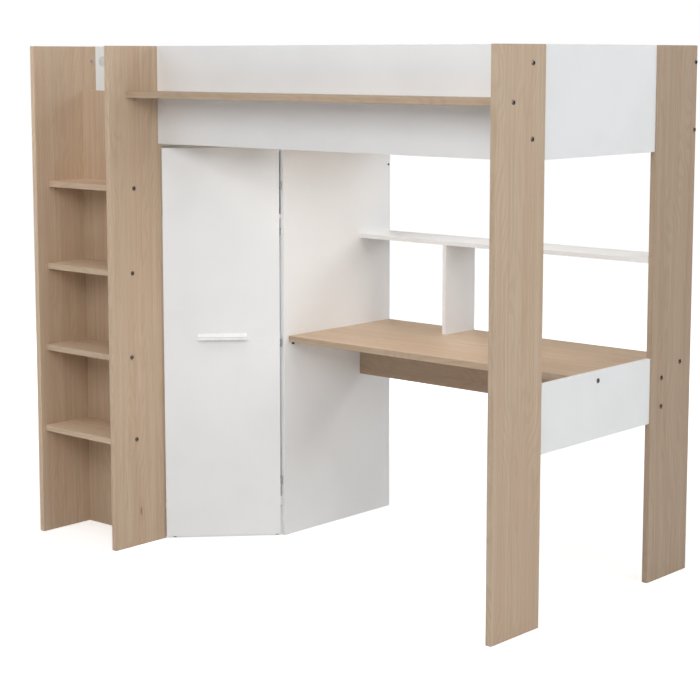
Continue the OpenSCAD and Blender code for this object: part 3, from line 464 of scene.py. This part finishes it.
def edge_marker(shortest, least_bend):
    """A node group that sorts the edges whose two faces meet at more than least_bend.

    Those longer than shortest are marked for bevelling. The shorter ones, which are the rims of
    drilled holes, stay sharp.
    """
    tree = bpy.data.node_groups.new("edge_marker", "GeometryNodeTree")
    for way in ("INPUT", "OUTPUT"):
        tree.interface.new_socket("Geometry", in_out=way, socket_type="NodeSocketGeometry")
    link = tree.links.new

    def add(kind, **settings):
        made = tree.nodes.new(kind)
        for name, value in settings.items():
            setattr(made, name, value)
        return made

    def above(measure, limit):
        made = add("FunctionNodeCompare", operation="GREATER_THAN")
        made.inputs["B"].default_value = limit
        link(measure, made.inputs["A"])
        return made.outputs["Result"]

    def both(operation, first, second):
        made = add("FunctionNodeBooleanMath", operation=operation)
        link(first, made.inputs[0])
        link(second, made.inputs[1])
        return made.outputs[0]

    def mark(geometry, kind, name, value):
        made = add("GeometryNodeStoreNamedAttribute", data_type=kind, domain="EDGE")
        made.inputs["Name"].default_value = name
        link(geometry, made.inputs["Geometry"])
        link(value, made.inputs["Value"])
        return made.outputs[0]

    ends = add("GeometryNodeInputMeshEdgeVertices")
    length = add("ShaderNodeVectorMath", operation="DISTANCE")
    link(ends.outputs["Position 1"], length.inputs[0])
    link(ends.outputs["Position 2"], length.inputs[1])
    bend = add("GeometryNodeInputMeshEdgeAngle")
    bent = above(bend.outputs["Unsigned Angle"], math.radians(least_bend))
    long = above(length.outputs["Value"], shortest)
    marked = mark(add("NodeGroupInput").outputs[0], "FLOAT", "bevel_weight_edge", both("AND", bent, long))
    marked = mark(marked, "BOOLEAN", "sharp_edge", both("NIMPLY", bent, long))
    link(marked, add("NodeGroupOutput").inputs[0])
    return tree


def soften(name, width, marker, segments=2):
    """Rounds a node's marked edges by width with modifiers. Its own mesh keeps its shape."""
    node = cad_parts[name]
    weld = node.modifiers.new("weld", "WELD")
    weld.merge_threshold = WELD_WITHIN
    flat = node.modifiers.new("flat", "DECIMATE")
    flat.decimate_type = "DISSOLVE"
    flat.angle_limit = math.radians(FLAT_WITHIN)
    node.modifiers.new("mark", "NODES").node_group = marker
    bevel = node.modifiers.new("bevel", "BEVEL")
    bevel.width = width
    bevel.segments = segments
    bevel.limit_method = "WEIGHT"
    bevel.use_clamp_overlap = False
    node.modifiers.new("triangles", "TRIANGULATE").min_vertices = 5
    normals = node.modifiers.new("normals", "WEIGHTED_NORMAL")
    normals.weight = 100
    normals.keep_sharp = True
    for face in node.data.polygons:
        face.use_smooth = True


def soften_all():
    """Soft edges on every board, slat and rail and on the handle."""
    marker = edge_marker(SHORTEST_EDGE, LEAST_BEND)
    for name in OAK_BOARDS:
        soften(name, DESK_TOP_EDGE if name == "desk_top" else OAK_EDGE, marker, ROUND_STEPS)
    for name in WHITE_BOARDS:
        soften(name, WHITE_EDGE, marker)
    soften("slats", SLAT_EDGE, marker)
    soften("slat_rail_front", SLAT_RAIL_EDGE, marker)
    soften("slat_rail_rear", SLAT_RAIL_EDGE, marker)
    soften("door_handle", HANDLE_EDGE, marker, ROUND_STEPS)


# ---------------------------------------------------------------- studio

FLOOR_REACH = 40.0
DOME_RADIUS = 39.0
WORLD_GLOW = 0.03
PAINT_DARK = (0.92, 0.92, 0.92, 1)
PAINT_PALE = (0.94, 0.94, 0.94, 1)
PURE_WHITE = (1, 1, 1, 1)
PURE_BLACK = (0, 0, 0, 1)
SPECKLE_CELL = 0.004
SPECKLE_DEPTH = 0.0001

# Square lamps round the bed, all turned to its middle: where each stands, its side and its watts.
LAMPS = {
    "key": ((2.6, -4.2, 3.4), 2.4, 114),
    "over_front": ((0.3, -1.9, 5.0), 2.2, 58),
    "front_left": ((-2.6, -4.2, 3.0), 2.4, 29),
    "right": ((4.8, 0.3, 2.4), 2.4, 52),
    "right_low": ((4.6, 0.0, 0.9), 2.0, 4),
    "rear_right": ((2.8, 3.6, 3.4), 2.4, 54),
    "rear": ((-0.5, 3.8, 3.2), 2.4, 16),
    "rear_left": ((-4.4, 2.2, 2.6), 2.4, 70),
}
DOWN = Vector((0, 0, -1))
INTO_WARDROBE = Vector((-0.73, 0.68, 0))    # square to the shut door
LAMP_BELOW_SLATS = 0.04
LAMP_BEHIND_GUARD = 0.05
LAMP_BEHIND_DOOR = 0.25
LAMP_BELOW_ROBE_TOP = 0.12


def seen_only(made):
    """The camera sees it, and it neither lights nor shades the bed."""
    for ray in ("diffuse", "glossy", "transmission", "shadow"):
        setattr(made, "visible_" + ray, False)


def glow_white(shader, strength):
    """A white glow of this strength, fixed or from another node's output."""
    shader.feed(shader.surface.inputs["Emission Color"], PURE_WHITE)
    shader.feed(shader.surface.inputs["Emission Strength"], strength)


def ground(name, height, near, far, near_glow, far_glow):
    """A pale floor that glows more and more from near to far, as a lit studio floor does."""
    corners = [(x * FLOOR_REACH, y * FLOOR_REACH, height) for x, y in ((-1, -1), (1, -1), (1, 1), (-1, 1))]
    mesh = bpy.data.meshes.new(name)
    mesh.from_pydata(corners, [], [(0, 1, 2, 3)])
    made = bpy.data.objects.new(name, mesh)
    bpy.context.scene.collection.objects.link(made)
    shader = Shader(name + "_paint")
    point = shader.point(*shader.place())
    distance = shader.node("VectorMath", {"operation": "LENGTH"})
    shader.feed(distance.inputs[0], point)
    glow = shader.ramp(distance.outputs["Value"], near, far, near_glow, far_glow)
    speckle = shader.noise(point, (SPECKLE_CELL,) * 3, detail=3)
    colour = shader.mix(speckle, PAINT_DARK, PAINT_PALE)
    glow_white(shader, glow)
    shader.bump(speckle, SPECKLE_DEPTH)
    mesh.materials.append(shader.finish(colour, 0.9, Specular_IOR_Level=0.0))
    return made


def backdrop():
    """A plain white dome round everything, for the camera alone."""
    bpy.ops.mesh.primitive_uv_sphere_add(segments=48, ring_count=24, radius=DOME_RADIUS)
    made = bpy.context.object
    made.name = "backdrop"
    shader = Shader("backdrop_white")
    glow_white(shader, 1.0)
    made.data.materials.append(shader.finish(PURE_BLACK, 1.0, Specular_IOR_Level=0.0))
    seen_only(made)


def area_light(name, place, aim, width, depth, power):
    """A rectangular lamp at place that looks at aim, with its power in watts."""
    data = bpy.data.lights.new(name, "AREA")
    data.shape = "RECTANGLE"
    data.size = width
    data.size_y = depth
    data.energy = power
    made = bpy.data.objects.new(name, data)
    made.location = place
    made.rotation_euler = (Vector(aim) - Vector(place)).to_track_quat("-Z", "Y").to_euler()
    bpy.context.scene.collection.objects.link(made)
    return made


def hidden_light(name, place, way, width, depth, power):
    """A lamp between the boards that looks this way, and that the camera doesn't see."""
    area_light(name, place, place + way, width, depth, power).visible_camera = False


def lamps_under_bed():
    """Light below the slats, over the desk and along the guard board."""
    desk_low, desk_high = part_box("desk_top")
    under = (desk_low + desk_high) / 2
    under.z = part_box("slat_rail_front")[0].z - LAMP_BELOW_SLATS
    hidden_light("under_bed", under, DOWN, width=1.1, depth=0.8, power=2.3)
    under.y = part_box("guard_board_front")[1].y + LAMP_BEHIND_GUARD
    hidden_light("under_bed_front", under, DOWN, width=1.2, depth=0.15, power=0.9)


def lamps_in_wardrobe():
    """Light behind the door and over the wardrobe's shelf, which the gap beside the door shows."""
    behind = centre_of("wardrobe_door") + LAMP_BEHIND_DOOR * INTO_WARDROBE
    hidden_light("in_wardrobe", behind, INTO_WARDROBE, width=0.2, depth=0.9, power=1.2)
    behind.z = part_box("wardrobe_top")[0].z - LAMP_BELOW_ROBE_TOP
    hidden_light("over_hat_shelf", behind, INTO_WARDROBE, width=0.2, depth=0.15, power=0.25)


def studio():
    """A white room: faint light from all round, a floor that glows, and the lamps."""
    world = bpy.data.worlds.new("studio")
    world.use_nodes = True
    world.node_tree.nodes["Background"].inputs["Color"].default_value = PURE_WHITE
    world.node_tree.nodes["Background"].inputs["Strength"].default_value = WORLD_GLOW
    bpy.context.scene.world = world
    backdrop()
    seen_only(ground("floor", height=0.0, near=1.0, far=4.5, near_glow=0.52, far_glow=1.0))
    bounce = ground("floor_bounce", height=-0.001, near=2.0, far=9.0, near_glow=0.03, far_glow=0.15)
    bounce.visible_camera = False
    middle = (cad_low + cad_high) / 2
    for name, (place, side, power) in LAMPS.items():
        area_light(name, place, middle, side, side, power)
    lamps_under_bed()
    lamps_in_wardrobe()
    bpy.context.scene.view_settings.view_transform = "Standard"


# ---------------------------------------------------------------- camera

CAMERA_PLACE = (4.141, -4.675, 1.763)
CAMERA_TURN = 41.55     # to the left of looking along +Y
CAMERA_DIP = 7.17       # below level
CAMERA_LENS = 91.39     # millimetres, on a sensor 36 wide
CAMERA_SENSOR = 36.0
CAMERA_SHIFT = -0.10    # of the picture's width, downwards


def camera():
    """A long lens just below the height of the bed's top, off the front corner of the desk end."""
    data = bpy.data.cameras.new("camera")
    data.lens = CAMERA_LENS
    data.sensor_width = CAMERA_SENSOR
    data.shift_y = CAMERA_SHIFT
    made = bpy.data.objects.new("camera", data)
    made.location = CAMERA_PLACE
    made.rotation_euler = Euler((math.radians(90 - CAMERA_DIP), 0, math.radians(CAMERA_TURN)))
    bpy.context.scene.collection.objects.link(made)
    bpy.context.scene.camera = made


camera()
dress()
soften_all()
studio()
